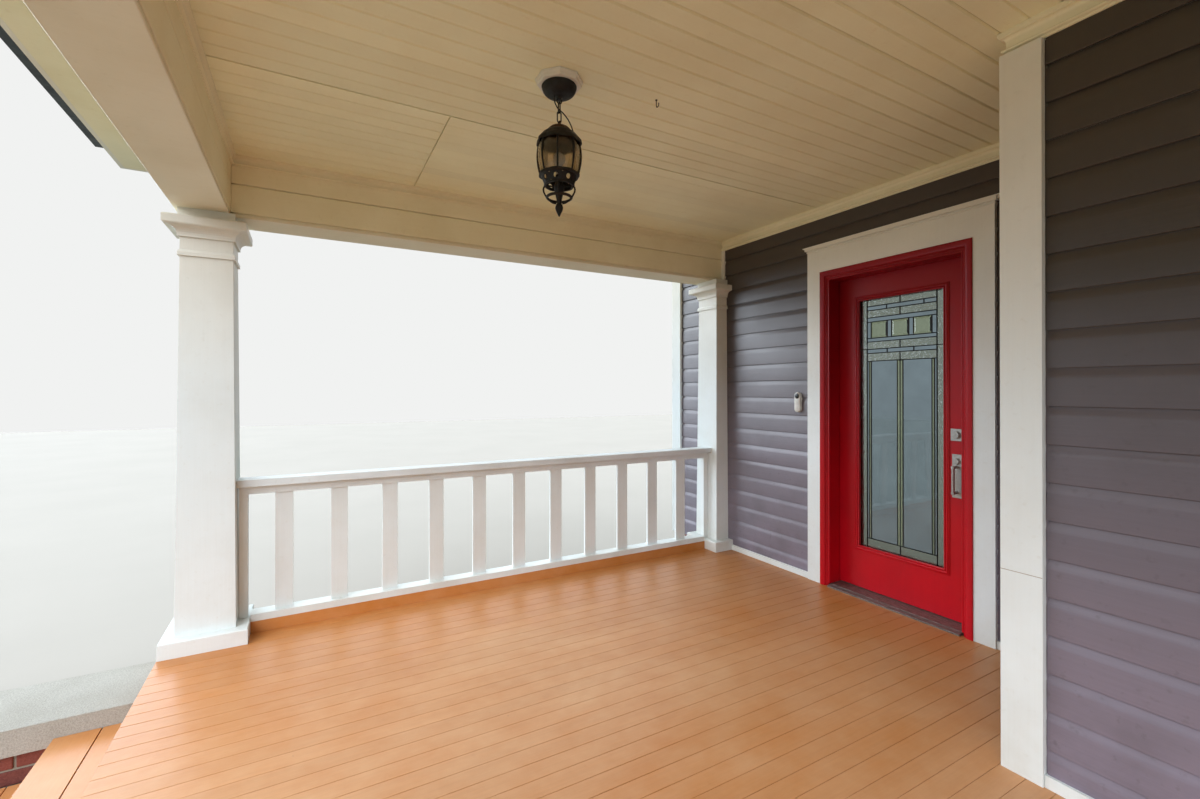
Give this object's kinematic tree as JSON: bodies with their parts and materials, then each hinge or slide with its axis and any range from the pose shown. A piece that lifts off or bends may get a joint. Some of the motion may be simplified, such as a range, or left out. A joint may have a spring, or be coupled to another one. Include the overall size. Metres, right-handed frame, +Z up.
{
  "type": "front porch",
  "caption": "Covered front porch: square tapered columns, board railings, brick-cheeked steps, panelled ceiling, lantern, house walls and a glazed entry door.",
  "frame": {"origin": "on the ground, in the middle of the bounding box seen from above", "axes": "+X along the house wall to the right of someone facing the door, +Y from the steps towards the house, +Z up"},
  "size_m": [6.614, 4.518, 3.9404],
  "materials": {
    "brick": "fired brick with mortar joints",
    "concrete": "trowelled concrete",
    "framing": "sawn softwood",
    "floor_paint": "painted boards, satin",
    "trim_white": "painted, satin",
    "trim_beige": "painted, flat",
    "siding": "painted lap boards, satin",
    "shingle": "mineral-faced shingles",
    "gutter_metal": "satin",
    "door_red": "painted, gloss",
    "leaded_glass": "textured and bevelled",
    "sill_metal": "mill finish",
    "bronze": "dark bronze",
    "bell_plastic": "moulded",
    "lantern_metal": "antique black",
    "amber_glass": "ribbed, smoky amber",
    "lead_plastic": "round flexible lead",
    "bulb_glass": "frosted"
  },
  "bodies": {
    "porch": {"porch_foundation": "brick", "house_foundation": "brick", "deck_frame": "framing", "deck": "floor_paint", "cheek_walls": "brick", "cheek_caps": "concrete", "step_treads": "floor_paint", "risers": "floor_paint", "stringers": "framing", "columns": "trim_white", "column_capitals": "trim_white", "column_bases": "trim_white", "railings": "trim_white", "rail_caps": "trim_white", "rail_shoes": "floor_paint", "front_beam": "trim_beige", "side_beams": "trim_beige", "ceiling": "trim_beige", "ceiling_crown": "trim_beige", "eave_soffit": "trim_beige", "fascia": "trim_white", "gutter": "gutter_metal", "roof": "shingle", "roof_caps": "shingle", "door_wall_left": "siding", "door_wall_right": "siding", "door_wall_over": "siding", "return_wall": "siding", "room_wall": "siding", "corner_boards": "trim_white", "wall_strips": "trim_white", "door_casing": "trim_white", "door_frame": "door_red", "threshold": "sill_metal", "jamb_hinges": "bronze", "doorbell": "bell_plastic", "lantern_block": "trim_white", "lantern_canopy": "lantern_metal"},
    "door_leaf": {"door": "door_red", "door_glass": "leaded_glass", "door_hardware": "bronze", "door_hinges": "bronze"},
    "chain": {"lantern_chain": "lantern_metal", "lamp_lead": "lead_plastic"},
    "lantern": {"lantern_cap": "lantern_metal", "lantern_glass": "amber_glass", "lantern_cage": "lantern_metal", "lantern_bulb": "bulb_glass"}
  },
  "joints": [
    {"name": "door_hinge", "type": "hinge", "parent": "porch", "child": "door_leaf", "pos_m": [-1.613, 2.239, 1.45], "axis": [0, 0, 1], "range_deg": [0, 95]},
    {"name": "chain_swing", "type": "hinge", "parent": "porch", "child": "chain", "pos_m": [-1.2, -0.073, 2.8925], "axis": [1, 0, 0], "range_deg": [-15, 15]},
    {"name": "lantern_swing", "type": "hinge", "parent": "chain", "child": "lantern", "pos_m": [-1.2, -0.073, 2.8116], "axis": [0, 1, 0], "range_deg": [-15, 15]}
  ]
}
